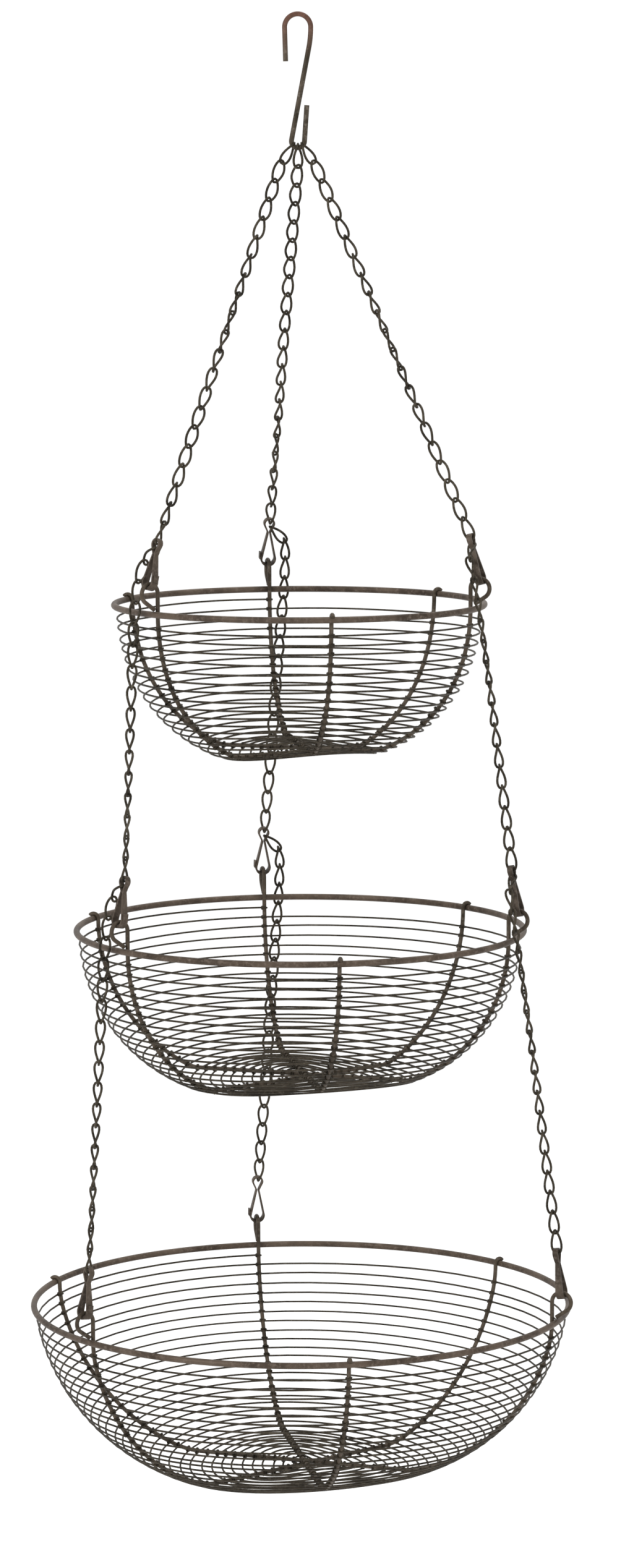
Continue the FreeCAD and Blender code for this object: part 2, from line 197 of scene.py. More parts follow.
def patina(name, dark, brown, greyed, worn_above=None, worn=(0.14, 0.055, 0.038), rough=0.5):
    """Brown coated wire. Above the height worn_above, in metres, rubbing has reddened it."""
    material = bpy.data.materials.new(name)
    material.use_nodes = True
    tree = material.node_tree
    make = tree.nodes.new
    join = tree.links.new
    shader = tree.nodes["Principled BSDF"]
    output = tree.nodes["Material Output"]
    shader.location = (900, 0)
    output.location = (1200, 0)

    colour_frame = make("NodeFrame")
    colour_frame.label = "Colour of the coating"
    surface_frame = make("NodeFrame")
    surface_frame.label = "Grit and gloss"

    place = make("ShaderNodeTexCoord")
    place.label = "Where on the wire"
    place.location = (-1100, 0)

    patches = make("ShaderNodeTexNoise")
    patches.label = "Broad patches"
    patches.location = (-800, 300)
    patches.inputs["Scale"].default_value = PATCH_SCALE
    patches.inputs["Detail"].default_value = 4.0
    patches.inputs["Roughness"].default_value = 0.6
    patches.parent = colour_frame

    speckle = make("ShaderNodeTexNoise")
    speckle.label = "Speckle"
    speckle.location = (-800, 0)
    speckle.inputs["Scale"].default_value = SPECKLE_SCALE
    speckle.inputs["Detail"].default_value = 3.0
    speckle.inputs["Roughness"].default_value = 0.65
    speckle.parent = colour_frame

    patch_ramp = make("ShaderNodeValToRGB")
    patch_ramp.label = "Dark to brown"
    patch_ramp.location = (-550, 300)
    patch_ramp.color_ramp.elements[0].position = 0.36
    patch_ramp.color_ramp.elements[0].color = (*dark, 1.0)
    patch_ramp.color_ramp.elements[1].position = 0.62
    patch_ramp.color_ramp.elements[1].color = (*brown, 1.0)
    patch_ramp.parent = colour_frame

    rubbed = make("ShaderNodeMapRange")
    rubbed.label = "Where it is greyed"
    rubbed.location = (-550, 0)
    rubbed.inputs["From Min"].default_value = 0.5
    rubbed.inputs["From Max"].default_value = 0.78
    rubbed.parent = colour_frame

    greying = make("ShaderNodeMix")
    greying.data_type = "RGBA"
    greying.label = "Greyed brown"
    greying.location = (-200, 200)
    greying.inputs["B"].default_value = (*greyed, 1.0)
    greying.parent = colour_frame

    grit = make("ShaderNodeTexNoise")
    grit.label = "Grit"
    grit.location = (-800, -400)
    grit.inputs["Scale"].default_value = GRIT_SCALE
    grit.inputs["Detail"].default_value = 2.0
    grit.parent = surface_frame

    lumps = make("ShaderNodeBump")
    lumps.label = "Slightly lumpy coating"
    lumps.location = (300, -400)
    lumps.inputs["Strength"].default_value = 0.35
    lumps.inputs["Distance"].default_value = LUMP_HEIGHT
    lumps.parent = surface_frame

    gloss = make("ShaderNodeMapRange")
    gloss.label = "Uneven gloss"
    gloss.location = (300, -150)
    gloss.inputs["To Min"].default_value = rough - 0.12
    gloss.inputs["To Max"].default_value = rough + 0.14
    gloss.parent = surface_frame

    join(place.outputs["Object"], patches.inputs["Vector"])
    join(place.outputs["Object"], speckle.inputs["Vector"])
    join(place.outputs["Object"], grit.inputs["Vector"])
    join(patches.outputs["Fac"], patch_ramp.inputs["Fac"])
    join(speckle.outputs["Fac"], rubbed.inputs["Value"])
    join(rubbed.outputs["Result"], greying.inputs["Factor"])
    join(patch_ramp.outputs["Color"], greying.inputs["A"])
    join(grit.outputs["Fac"], lumps.inputs["Height"])
    join(lumps.outputs["Normal"], shader.inputs["Normal"])
    join(speckle.outputs["Fac"], gloss.inputs["Value"])
    join(gloss.outputs["Result"], shader.inputs["Roughness"])
    coat = greying.outputs["Result"]

    if worn_above is not None:
        wear_frame = make("NodeFrame")
        wear_frame.label = "Rubbed red where it hangs"
        height = make("ShaderNodeSeparateXYZ")
        height.label = "Height"
        height.location = (-800, 650)
        height.parent = wear_frame
        band = make("ShaderNodeMapRange")
        band.label = "Only the upper bend"
        band.location = (-550, 650)
        band.inputs["From Min"].default_value = worn_above
        band.inputs["From Max"].default_value = worn_above + WORN_BAND
        band.parent = wear_frame
        broken = make("ShaderNodeMath")
        broken.label = "Broken by the patches"
        broken.operation = "MULTIPLY"
        broken.location = (-200, 650)
        broken.parent = wear_frame
        reddened = make("ShaderNodeMix")
        reddened.data_type = "RGBA"
        reddened.label = "Reddened"
        reddened.location = (150, 400)
        reddened.inputs["B"].default_value = (*worn, 1.0)
        reddened.parent = wear_frame
        join(place.outputs["Object"], height.inputs["Vector"])
        join(height.outputs["Z"], band.inputs["Value"])
        join(band.outputs["Result"], broken.inputs[0])
        join(speckle.outputs["Fac"], broken.inputs[1])
        join(broken.outputs["Value"], reddened.inputs["Factor"])
        join(coat, reddened.inputs["A"])
        coat = reddened.outputs["Result"]

    join(coat, shader.inputs["Base Color"])
    shader.inputs["Metallic"].default_value = 0.3
    shader.inputs["Specular IOR Level"].default_value = 0.12
    print("finish", name)
    return material


# Name, then the dark, the brown and the greyed colour
RIM_FINISH = patina(
    "rim_patina", (0.04, 0.029, 0.021), (0.09, 0.067, 0.05), (0.13, 0.102, 0.082)
)
HOOP_FINISH = patina(
    "hoop_patina", (0.03, 0.023, 0.016), (0.07, 0.054, 0.039), (0.11, 0.09, 0.07)
)
CLIP_FINISH = patina(
    "clip_patina", (0.036, 0.028, 0.021), (0.08, 0.062, 0.047), (0.125, 0.1, 0.082)
)
CHAIN_FINISH = patina(
    "chain_patina", (0.014, 0.011, 0.007), (0.042, 0.034, 0.023), (0.09, 0.076, 0.056)
)
WEAVE_FINISH = patina(
    "weave_patina", (0.014, 0.011, 0.007), (0.04, 0.032, 0.022), (0.085, 0.072, 0.053)
)
HOOK_FINISH = patina(
    "hook_patina", (0.025, 0.02, 0.013), (0.072, 0.056, 0.04), (0.13, 0.11, 0.088),
    worn_above=-0.022,
)

# %% [markdown]
# ## Finish the parts that CAD already shapes
#
# The S-hook, the rims, the hoops and the clips are bent wire and strip whose shape is exact in
# the frame, so they stay and only take the finish.

# %% Paint the frame's own parts
for name, node in nodes.items():
    if name == "s_hook":
        finish = HOOK_FINISH
    elif name.endswith("_rim"):
        finish = RIM_FINISH
    elif "_hoop_" in name:
        finish = HOOP_FINISH
    elif "_clip_" in name:
        finish = CLIP_FINISH
    else:
        finish = CHAIN_FINISH
    for held in node.material_slots:
        held.material = finish
print("painted", len(nodes), "nodes")

# %% [markdown]
# ## Helpers for Geometry Nodes
#
# A Geometry Nodes tree is a recipe: its inputs are sizes, and the modifier that holds it can be
# given different sizes for each basket. The first helper starts a tree with named inputs, the
# second runs it on an object with given sizes and keeps the result as a plain mesh.

# %% Start a recipe, and run one


def recipe(name, **sizes):
    """A Geometry Nodes tree with a geometry input and output and one number input per size."""
    tree = bpy.data.node_groups.new(name, "GeometryNodeTree")
    tree.interface.new_socket("Geometry", in_out="INPUT", socket_type="NodeSocketGeometry")
    for label, value in sizes.items():
        kind = "NodeSocketInt" if isinstance(value, int) else "NodeSocketFloat"
        socket = tree.interface.new_socket(label, in_out="INPUT", socket_type=kind)
        socket.default_value = value
    tree.interface.new_socket("Geometry", in_out="OUTPUT", socket_type="NodeSocketGeometry")
    return tree


def cooked(name, mesh, tree, **sizes):
    """A new object with the recipe's result as its plain mesh."""
    piece = bpy.data.objects.new(name, mesh)
    bpy.context.scene.collection.objects.link(piece)
    modifier = piece.modifiers.new("recipe", "NODES")
    modifier.node_group = tree
    for item in tree.interface.items_tree:
        if item.item_type == "SOCKET" and item.in_out == "INPUT" and item.name in sizes:
            modifier[item.identifier] = sizes[item.name]
    graph = bpy.context.evaluated_depsgraph_get()
    result = bpy.data.meshes.new_from_object(piece.evaluated_get(graph))
    finish = result.materials[-1]
    result.materials.clear()
    result.materials.append(finish)
    piece.modifiers.clear()
    piece.data = result
    result.name = name
    return piece


def points_mesh(name, points):
    """A mesh of bare points, joined in a row by edges."""
    mesh = bpy.data.meshes.new(name)
    rows = [(k, k + 1) for k in range(len(points) - 1)]
    mesh.from_pydata([tuple(p) for p in points], rows, [])
    return mesh


# %% [markdown]
# ## One twisted link, many times
#
# The chain is a twist-link chain: each link is an oval of wire whose two ends are turned a
# quarter turn from each other, so that it lies flat against the next. One recipe makes a link
# from a ring of points, turns each point about the link's length in proportion to its height,
# sweeps a thin round section along it, and puts a copy on every place in the chain. The places
# come from the frame: each CAD link's middle and its long direction.

# %% The chain recipe
LINK_LENGTH = 14.7 * MM
LINK_WIDTH = 7.2 * MM
LINK_WIRE = 1.4 * MM
LINK_RING = 22
LINK_SECTION = 7
# Below 1 the oval has flatter sides than an ellipse
LINK_ROUNDNESS = 0.72
QUARTER_TURN = math.pi / 2

chain_recipe = recipe(
    "twist_link_chain", Length=LINK_LENGTH, Width=LINK_WIDTH, Wire=LINK_WIRE,
    First_Turn=0.0, Turn_Step=0.0, Turn_Growth=0.0,
)
add = chain_recipe.nodes.new
wire_up = chain_recipe.links.new

inputs = add("NodeGroupInput")
inputs.location = (-1400, 0)
output = add("NodeGroupOutput")
output.location = (1600, 0)

ring = add("GeometryNodeMeshCircle")
ring.label = "Ring of points"
ring.location = (-600, 500)
ring.inputs["Vertices"].default_value = LINK_RING

count_along = add("GeometryNodeInputIndex")
count_along.location = (-1400, 400)
angle = add("ShaderNodeMath")
angle.label = "Angle round the link"
angle.operation = "MULTIPLY"
angle.location = (-1200, 400)
angle.inputs[1].default_value = 2 * math.pi / LINK_RING
across = add("ShaderNodeMath")
across.operation = "COSINE"
across.location = (-1000, 500)
along = add("ShaderNodeMath")
along.operation = "SINE"
along.location = (-1000, 300)
across_size = add("ShaderNodeMath")
across_size.label = "Flat sides: how far across"
across_size.operation = "ABSOLUTE"
across_size.location = (-800, 650)
across_power = add("ShaderNodeMath")
across_power.operation = "POWER"
across_power.location = (-600, 700)
across_power.inputs[1].default_value = LINK_ROUNDNESS
across_sign = add("ShaderNodeMath")
across_sign.operation = "SIGN"
across_sign.location = (-800, 800)
across_shape = add("ShaderNodeMath")
across_shape.operation = "MULTIPLY"
across_shape.location = (-400, 750)

half_width = add("ShaderNodeMath")
half_width.label = "Width less the wire"
half_width.operation = "SUBTRACT"
half_width.location = (-1200, 150)
half_length = add("ShaderNodeMath")
half_length.label = "Length less the wire"
half_length.operation = "SUBTRACT"
half_length.location = (-1200, 0)
x_place = add("ShaderNodeMath")
x_place.operation = "MULTIPLY"
x_place.location = (-400, 500)
z_place = add("ShaderNodeMath")
z_place.operation = "MULTIPLY"
z_place.location = (-400, 350)
flat_place = add("ShaderNodeCombineXYZ")
flat_place.location = (-200, 450)
halved = add("ShaderNodeVectorMath")
halved.operation = "SCALE"
halved.location = (0, 450)
halved.inputs["Scale"].default_value = 0.5
twist = add("ShaderNodeMath")
twist.label = "Twist, an eighth turn up and down"
twist.operation = "MULTIPLY_ADD"
twist.location = (0, 250)
twist.inputs[1].default_value = QUARTER_TURN / 2
twist.inputs[2].default_value = QUARTER_TURN / 2
twisted = add("ShaderNodeVectorRotate")
twisted.rotation_type = "Z_AXIS"
twisted.location = (200, 450)
bent = add("GeometryNodeSetPosition")
bent.location = (400, 500)
centre_line = add("GeometryNodeMeshToCurve")
centre_line.location = (600, 500)
section = add("GeometryNodeCurvePrimitiveCircle")
section.label = "Wire section"
section.location = (600, 300)
section.inputs["Resolution"].default_value = LINK_SECTION
wire_half = add("ShaderNodeMath")
wire_half.operation = "MULTIPLY"
wire_half.location = (400, 250)
wire_half.inputs[1].default_value = 0.5
link = add("GeometryNodeCurveToMesh")
link.label = "One link"
link.location = (800, 450)

wire_up(count_along.outputs["Index"], angle.inputs[0])
wire_up(angle.outputs[0], across.inputs[0])
wire_up(angle.outputs[0], along.inputs[0])
wire_up(across.outputs[0], across_size.inputs[0])
wire_up(across.outputs[0], across_sign.inputs[0])
wire_up(across_size.outputs[0], across_power.inputs[0])
wire_up(across_power.outputs[0], across_shape.inputs[0])
wire_up(across_sign.outputs[0], across_shape.inputs[1])
wire_up(inputs.outputs["Width"], half_width.inputs[0])
wire_up(inputs.outputs["Wire"], half_width.inputs[1])
wire_up(inputs.outputs["Length"], half_length.inputs[0])
wire_up(inputs.outputs["Wire"], half_length.inputs[1])
wire_up(across_shape.outputs[0], x_place.inputs[0])
wire_up(half_width.outputs[0], x_place.inputs[1])
wire_up(along.outputs[0], z_place.inputs[0])
wire_up(half_length.outputs[0], z_place.inputs[1])
wire_up(x_place.outputs[0], flat_place.inputs["X"])
wire_up(z_place.outputs[0], flat_place.inputs["Z"])
wire_up(flat_place.outputs[0], halved.inputs[0])
wire_up(along.outputs[0], twist.inputs[0])
wire_up(halved.outputs[0], twisted.inputs["Vector"])
wire_up(twist.outputs[0], twisted.inputs["Angle"])
wire_up(ring.outputs["Mesh"], bent.inputs["Geometry"])
wire_up(twisted.outputs[0], bent.inputs["Position"])
wire_up(bent.outputs["Geometry"], centre_line.inputs["Mesh"])
wire_up(inputs.outputs["Wire"], wire_half.inputs[0])
wire_up(wire_half.outputs[0], section.inputs["Radius"])
wire_up(centre_line.outputs["Curve"], link.inputs["Curve"])
wire_up(section.outputs["Curve"], link.inputs["Profile Curve"])

long_way = add("GeometryNodeInputNamedAttribute")
long_way.label = "The link's long direction"
long_way.data_type = "FLOAT_VECTOR"
long_way.location = (200, -100)
long_way.inputs["Name"].default_value = "long_way"
place_number = add("GeometryNodeInputIndex")
place_number.location = (-200, -250)
turn_rate = add("ShaderNodeMath")
turn_rate.label = "The step grows down the chain"
turn_rate.operation = "MULTIPLY_ADD"
turn_rate.location = (-200, -400)
turn = add("ShaderNodeMath")
turn.label = "Each link turned a little more"
turn.operation = "MULTIPLY_ADD"
turn.location = (0, -250)
turn_cos = add("ShaderNodeMath")
turn_cos.operation = "COSINE"
turn_cos.location = (200, -250)
turn_sin = add("ShaderNodeMath")
turn_sin.operation = "SINE"
turn_sin.location = (200, -400)
bow_way = add("ShaderNodeCombineXYZ")
bow_way.label = "The way its lower bow faces"
bow_way.location = (400, -300)
facing = add("FunctionNodeAxesToRotation")
facing.primary_axis = "Z"
facing.secondary_axis = "X"
facing.location = (600, -150)
spread = add("GeometryNodeInstanceOnPoints")
spread.label = "A link on every place"
spread.location = (1000, 300)
made = add("GeometryNodeRealizeInstances")
made.location = (1150, 300)
smooth = add("GeometryNodeSetShadeSmooth")
smooth.location = (1300, 300)
finished = add("GeometryNodeSetMaterial")
finished.location = (1450, 300)
finished.inputs["Material"].default_value = CHAIN_FINISH

wire_up(place_number.outputs["Index"], turn_rate.inputs[0])
wire_up(inputs.outputs["Turn_Growth"], turn_rate.inputs[1])
wire_up(inputs.outputs["Turn_Step"], turn_rate.inputs[2])
wire_up(place_number.outputs["Index"], turn.inputs[0])
wire_up(turn_rate.outputs[0], turn.inputs[1])
wire_up(inputs.outputs["First_Turn"], turn.inputs[2])
wire_up(turn.outputs[0], turn_cos.inputs[0])
wire_up(turn.outputs[0], turn_sin.inputs[0])
wire_up(turn_cos.outputs[0], bow_way.inputs["X"])
wire_up(turn_sin.outputs[0], bow_way.inputs["Y"])
wire_up(long_way.outputs["Attribute"], facing.inputs["Primary Axis"])
wire_up(bow_way.outputs[0], facing.inputs["Secondary Axis"])
wire_up(inputs.outputs["Geometry"], spread.inputs["Points"])
wire_up(link.outputs["Mesh"], spread.inputs["Instance"])
wire_up(facing.outputs[0], spread.inputs["Rotation"])
wire_up(spread.outputs["Instances"], made.inputs["Geometry"])
wire_up(made.outputs["Geometry"], smooth.inputs["Geometry"])
wire_up(smooth.outputs["Geometry"], finished.inputs["Geometry"])
wire_up(finished.outputs["Geometry"], output.inputs["Geometry"])
print("chain recipe of", len(chain_recipe.nodes), "nodes")

# %% [markdown]
# ## Where the links are
#
# In the frame a chain's links are separate islands of one mesh. Its loose triangles are merged
# in a copy, and each island gives its middle and its longest direction.

# %% Read the links' places from the frame
SAME_POINT = 0.002 * MM


def link_places(node):
    """Middle and long direction of each link, from the top down."""
    work = bmesh.new()
    work.from_mesh(nodes[node].data)
    bmesh.ops.remove_doubles(work, verts=work.verts, dist=SAME_POINT)
    places = []
    waiting = set(work.verts)
    while waiting:
        island = [waiting.pop()]
        for vert in island:
            for edge in vert.link_edges:
                other = edge.other_vert(vert)
                if other in waiting:
                    waiting.remove(other)
                    island.append(other)
        points = np.array([vert.co for vert in island])
        middle = (points.min(axis=0) + points.max(axis=0)) / 2
        _, _, ways = np.linalg.svd(points - points.mean(axis=0), full_matrices=False)
        way = Vector(ways[0])
        places.append((Vector(middle), way if way.z > 0 else -way))
    work.free()
    return sorted(places, key=lambda place: -place[0].z)


# The first and last link's turn in each upper chain, in degrees from +X, and how much the step
# from link to link grows
UPPER_TURNS = {
    "left": (-45.0, 220.0, 0.19),
    "right": (-45.0, 160.0, 0.145),
    "rear": (-45.0, 100.0, 0.44),
}


def chain_piece(node, body, first, last, growth=0.0):
    places = link_places(node)
    points = points_mesh(node + "_links", [middle for middle, _ in places])
    long_ways = points.attributes.new("long_way", "FLOAT_VECTOR", "POINT")
    for k, (_, way) in enumerate(places):
        long_ways.data[k].vector = way
    steps = max(len(places) - 1, 1)
    step = (last - first) / steps - growth * steps
    piece = cooked(
        node + "_wire", points, chain_recipe,
        First_Turn=math.radians(first), Turn_Step=math.radians(step),
        Turn_Growth=math.radians(growth),
    )
    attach(piece, body)
    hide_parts(node)
    print(node, len(places), "links,", len(piece.data.polygons), "faces")


for side in SIDES:
    chain_piece("hook_link_" + side, "first_links", 0.0, 0.0)
    chain_piece("upper_chain_" + side, "top_basket", *UPPER_TURNS[side])
    for name in ("middle", "lower"):
        node = name + "_chain_" + side
        chain_piece(node, node, AZIMUTH[side], AZIMUTH[side] - 90.0)

# %% [markdown]
# ## The outline of a bowl
#
# Seen from the side, half a hoop is three arcs that flow into each other and then a flat run: a
# nearly straight wall, a wide shoulder, a tighter turn, and the floor. The same curve shapes the
# CAD hoops. The outline is a row of points from the rim down to the middle of the floor, in the
# XZ plane. The turns and the shoulder's size are given, and the two other radii follow from the
# half-width and the depth, by asking that the arcs meet without a kink.

# %% Draw the outline
HOOP_WIRE = 2.35 * MM
WEAVE_WIRE = 1.1 * MM
WELD = 0.15 * MM
WALL_TURN = math.radians(17.0)
FLOOR_TURN = math.radians(22.0)
SHOULDER_SHARE = {"top": 1.0, "middle": 1.07, "bottom": 1.23}
FLAT_RADIUS = {"top": 44.0 * MM, "middle": 62.0 * MM, "bottom": 61.0 * MM}
OUTLINE_STEP = math.radians(1.0)


def arc_points(centre, radius, start, end):
    steps = max(3, round(abs(end - start) / OUTLINE_STEP))
    for k in range(steps + 1):
        turned = start + (end - start) * k / steps
        yield centre + radius * Vector((math.cos(turned), 0, math.sin(turned)))


def bowl_outline(half_wide, depth, shoulder, flat_radius):
    """Points of half a bowl's outline, and its length."""
    across = half_wide - flat_radius
    a, b = math.cos(WALL_TURN) - 1, -math.sin(FLOOR_TURN)
    c, d = -math.sin(WALL_TURN), math.cos(FLOOR_TURN) - 1
    right = -across + shoulder * (math.cos(WALL_TURN) - math.sin(FLOOR_TURN))
    down = -depth + shoulder * (math.cos(FLOOR_TURN) - math.sin(WALL_TURN))
    wall = (right * d - b * down) / (a * d - b * c)
    corner = (a * down - right * c) / (a * d - b * c)
    wall_centre = Vector((half_wide - wall, 0, 0))
    to_shoulder = Vector((math.cos(WALL_TURN), 0, -math.sin(WALL_TURN))) * (wall - shoulder)
    corner_centre = Vector((flat_radius, 0, corner - depth))
    below = -math.pi / 2
    points = list(arc_points(wall_centre, wall, 0, -WALL_TURN))
    low = FLOOR_TURN + below
    points += list(arc_points(wall_centre + to_shoulder, shoulder, -WALL_TURN, low))[1:]
    points += list(arc_points(corner_centre, corner, low, below))[1:]
    points.append(Vector((0, 0, -depth)))
    return points, sum((q - p).length for p, q in zip(points, points[1:]))


def bowl_of(tier):
    """Half-width and depth of the lowest hoop, to the middle of its wire."""
    radius, height, rim_wire = rim_of(tier)
    half_wide = radius - (rim_wire + HOOP_WIRE) / 2 + WELD
    depth = height - box_of(tier + "_hoop_left")[0].z - HOOP_WIRE / 2
    return half_wide, depth


for tier in TIERS:
    print(tier, "bowl half-width and depth in mm:", [round(v / MM, 1) for v in bowl_of(tier)])

# %% [markdown]
# ## The weave
#
# One thin wire starts under the rim and winds down to the middle of the floor, row by row. At
# every hoop it takes one full turn round the hoop's wire, which holds it in place and shows as a
# small knot. Hands wound it, so the rows are never quite evenly spaced. The three hoops cross at
# the middle one above another, so the weave rides up and down a little as it goes round.
#
# The recipe lays a long row of points, looks up each one's place on the outline, turns it about
# the basket's axis, and sweeps the wire's section along. A second branch puts a short coil at
# every crossing.

# %% The weave recipe
POINTS_BETWEEN_HOOPS = 10
HOOPS_ROUND = 6
ROW_PITCH = 5.85 * MM
WEAVE_SECTION = 6
COIL_POINTS = 9
COIL_TURNS = 1.35
COIL_RISE = 1.5 * MM
# A half would only touch: the weave is pulled a little into the hoop
PRESSED_HALF = 0.44
# How quickly the unevenness changes along the wire, and how far apart two seeds are
NOISE_PER_ROW = 2.3
SEED_STRIDE = 37.7
UNEVEN_GAIN = 4.0
# Twice the angle of the highest hoop, and the swing that gives levels 0, 1 and 2 to the three
HIGHEST_HOOP_PHASE = math.radians(130.0)
LEVEL_SWING = 2 / math.sqrt(3)

weave_recipe = recipe(
    "spiral_weave", Rows=25, Start_Angle=0.0, Wire=WEAVE_WIRE, Hoop_Wire=HOOP_WIRE,
    Lift_Share=0.026, Unevenness=0.14, Seed=1.0,
)
add = weave_recipe.nodes.new
wire_up = weave_recipe.links.new

inputs = add("NodeGroupInput")
inputs.location = (-2200, 0)
output = add("NodeGroupOutput")
output.location = (2400, 0)

outline = add("GeometryNodeMeshToCurve")
outline.label = "The bowl's outline"
outline.location = (-1900, 600)

last_place = add("ShaderNodeMath")
last_place.label = "Points in the whole winding"
last_place.operation = "MULTIPLY"
last_place.location = (-1900, 300)
last_place.inputs[1].default_value = POINTS_BETWEEN_HOOPS * HOOPS_ROUND
points = add("GeometryNodeMeshLine")
points.label = "A long row of points"
points.location = (-1600, 300)
number = add("GeometryNodeInputIndex")
number.location = (-1900, 0)
azimuth = add("ShaderNodeMath")
azimuth.label = "Angle round the basket"
azimuth.operation = "MULTIPLY_ADD"
azimuth.location = (-1600, 0)
azimuth.inputs[1].default_value = 2 * math.pi / (POINTS_BETWEEN_HOOPS * HOOPS_ROUND)
turns_done = add("ShaderNodeMath")
turns_done.label = "Rows wound so far"
turns_done.operation = "DIVIDE"
turns_done.location = (-1600, -200)
turns_done.inputs[1].default_value = POINTS_BETWEEN_HOOPS * HOOPS_ROUND

noise_place = add("ShaderNodeMath")
noise_place.label = "Noise along the wire"
noise_place.operation = "MULTIPLY_ADD"
noise_place.location = (-1400, -400)
noise_place.inputs[1].default_value = NOISE_PER_ROW
seed_step = add("ShaderNodeMath")
seed_step.operation = "MULTIPLY"
seed_step.location = (-1600, -500)
seed_step.inputs[1].default_value = SEED_STRIDE
noise = add("ShaderNodeTexNoise")
noise.label = "Uneven hands"
noise.noise_dimensions = "1D"
noise.location = (-1200, -400)
noise.inputs["Scale"].default_value = 1.0
noise.inputs["Detail"].default_value = 2.0
centred = add("ShaderNodeMath")
centred.operation = "SUBTRACT"
centred.location = (-1000, -400)
centred.inputs[1].default_value = 0.5
uneven = add("ShaderNodeMath")
uneven.operation = "MULTIPLY"
uneven.location = (-800, -400)
wobbled = add("ShaderNodeMath")
wobbled.operation = "MULTIPLY_ADD"
wobbled.location = (-600, -300)
wobbled.inputs[1].default_value = UNEVEN_GAIN
first_row = add("ShaderNodeMath")
first_row.label = "The first row is one pitch down"
first_row.operation = "ADD"
first_row.location = (-400, -300)
first_row.inputs[1].default_value = 1.0
row_share = add("ShaderNodeMath")
row_share.label = "Pitches in the outline"
row_share.operation = "ADD"
row_share.location = (-600, -100)
row_share.inputs[1].default_value = 1.0
share = add("ShaderNodeMath")
share.label = "Share of the outline"
share.operation = "DIVIDE"
share.location = (-200, -200)

wire_up(inputs.outputs["Geometry"], outline.inputs["Mesh"])
wire_up(inputs.outputs["Rows"], last_place.inputs[0])
wire_up(last_place.outputs[0], points.inputs["Count"])
wire_up(number.outputs["Index"], azimuth.inputs[0])
wire_up(inputs.outputs["Start_Angle"], azimuth.inputs[2])
wire_up(number.outputs["Index"], turns_done.inputs[0])
wire_up(turns_done.outputs[0], noise_place.inputs[0])
wire_up(inputs.outputs["Seed"], seed_step.inputs[0])
wire_up(seed_step.outputs[0], noise_place.inputs[2])
wire_up(noise_place.outputs[0], noise.inputs["W"])
wire_up(noise.outputs["Fac"], centred.inputs[0])
wire_up(centred.outputs[0], uneven.inputs[0])
wire_up(inputs.outputs["Unevenness"], uneven.inputs[1])
wire_up(uneven.outputs[0], wobbled.inputs[0])
wire_up(turns_done.outputs[0], wobbled.inputs[2])
wire_up(wobbled.outputs[0], first_row.inputs[0])
wire_up(inputs.outputs["Rows"], row_share.inputs[0])
wire_up(first_row.outputs[0], share.inputs[0])
wire_up(row_share.outputs[0], share.inputs[1])

on_outline = add("GeometryNodeSampleCurve")
on_outline.label = "Place on the outline"
on_outline.mode = "FACTOR"
on_outline.location = (0, 200)
split = add("ShaderNodeSeparateXYZ")
split.location = (200, 300)
way = add("ShaderNodeSeparateXYZ")
way.label = "Which way the outline runs"
way.location = (200, 100)
minus = add("ShaderNodeMath")
minus.operation = "MULTIPLY"
minus.location = (400, 0)
minus.inputs[1].default_value = -1.0
outwards = add("ShaderNodeCombineXYZ")
outwards.label = "Square to the outline, outwards"
outwards.location = (600, 50)

phase = add("ShaderNodeMath")
phase.label = "Twice the angle, from the highest hoop"
phase.operation = "MULTIPLY_ADD"
phase.location = (-400, 800)
phase.inputs[1].default_value = 2.0
phase.inputs[2].default_value = HIGHEST_HOOP_PHASE
wave = add("ShaderNodeMath")
wave.operation = "COSINE"
wave.location = (-200, 800)
level = add("ShaderNodeMath")
level.label = "Hoop level: 0, 1 and 2"
level.operation = "MULTIPLY_ADD"
level.location = (0, 800)
level.inputs[1].default_value = LEVEL_SWING
level.inputs[2].default_value = 1.0
lift = add("ShaderNodeMath")
lift.operation = "MULTIPLY"
lift.location = (200, 800)
shallower = add("ShaderNodeMath")
shallower.operation = "SUBTRACT"
shallower.location = (400, 800)
shallower.inputs[0].default_value = 1.0
z_lifted = add("ShaderNodeMath")
z_lifted.operation = "MULTIPLY"
z_lifted.location = (600, 600)
hoop_place = add("ShaderNodeCombineXYZ")
hoop_place.label = "On the hoop's own line"
hoop_place.location = (800, 400)
wires_sum = add("ShaderNodeMath")
wires_sum.operation = "ADD"
wires_sum.location = (400, -200)
offset = add("ShaderNodeMath")
offset.label = "Half a hoop and half a weave, pressed together"
offset.operation = "MULTIPLY"
offset.location = (600, -200)
offset.inputs[1].default_value = PRESSED_HALF
outset = add("ShaderNodeVectorMath")
outset.operation = "SCALE"
outset.location = (800, 0)
weave_place = add("ShaderNodeVectorMath")
weave_place.label = "Outside the hoop"
weave_place.operation = "ADD"
weave_place.location = (1000, 200)
round_weave = add("ShaderNodeVectorRotate")
round_weave.rotation_type = "Z_AXIS"
round_weave.location = (1200, 200)
wound = add("GeometryNodeSetPosition")
wound.location = (1400, 300)
wound_line = add("GeometryNodeMeshToCurve")
wound_line.location = (1600, 300)
section = add("GeometryNodeCurvePrimitiveCircle")
section.label = "Wire section"
section.location = (1600, 100)
section.inputs["Resolution"].default_value = WEAVE_SECTION
wire_half = add("ShaderNodeMath")
wire_half.operation = "MULTIPLY"
wire_half.location = (1400, 50)
wire_half.inputs[1].default_value = 0.5
winding = add("GeometryNodeCurveToMesh")
winding.label = "The winding"
winding.location = (1800, 300)
winding.inputs["Fill Caps"].default_value = True

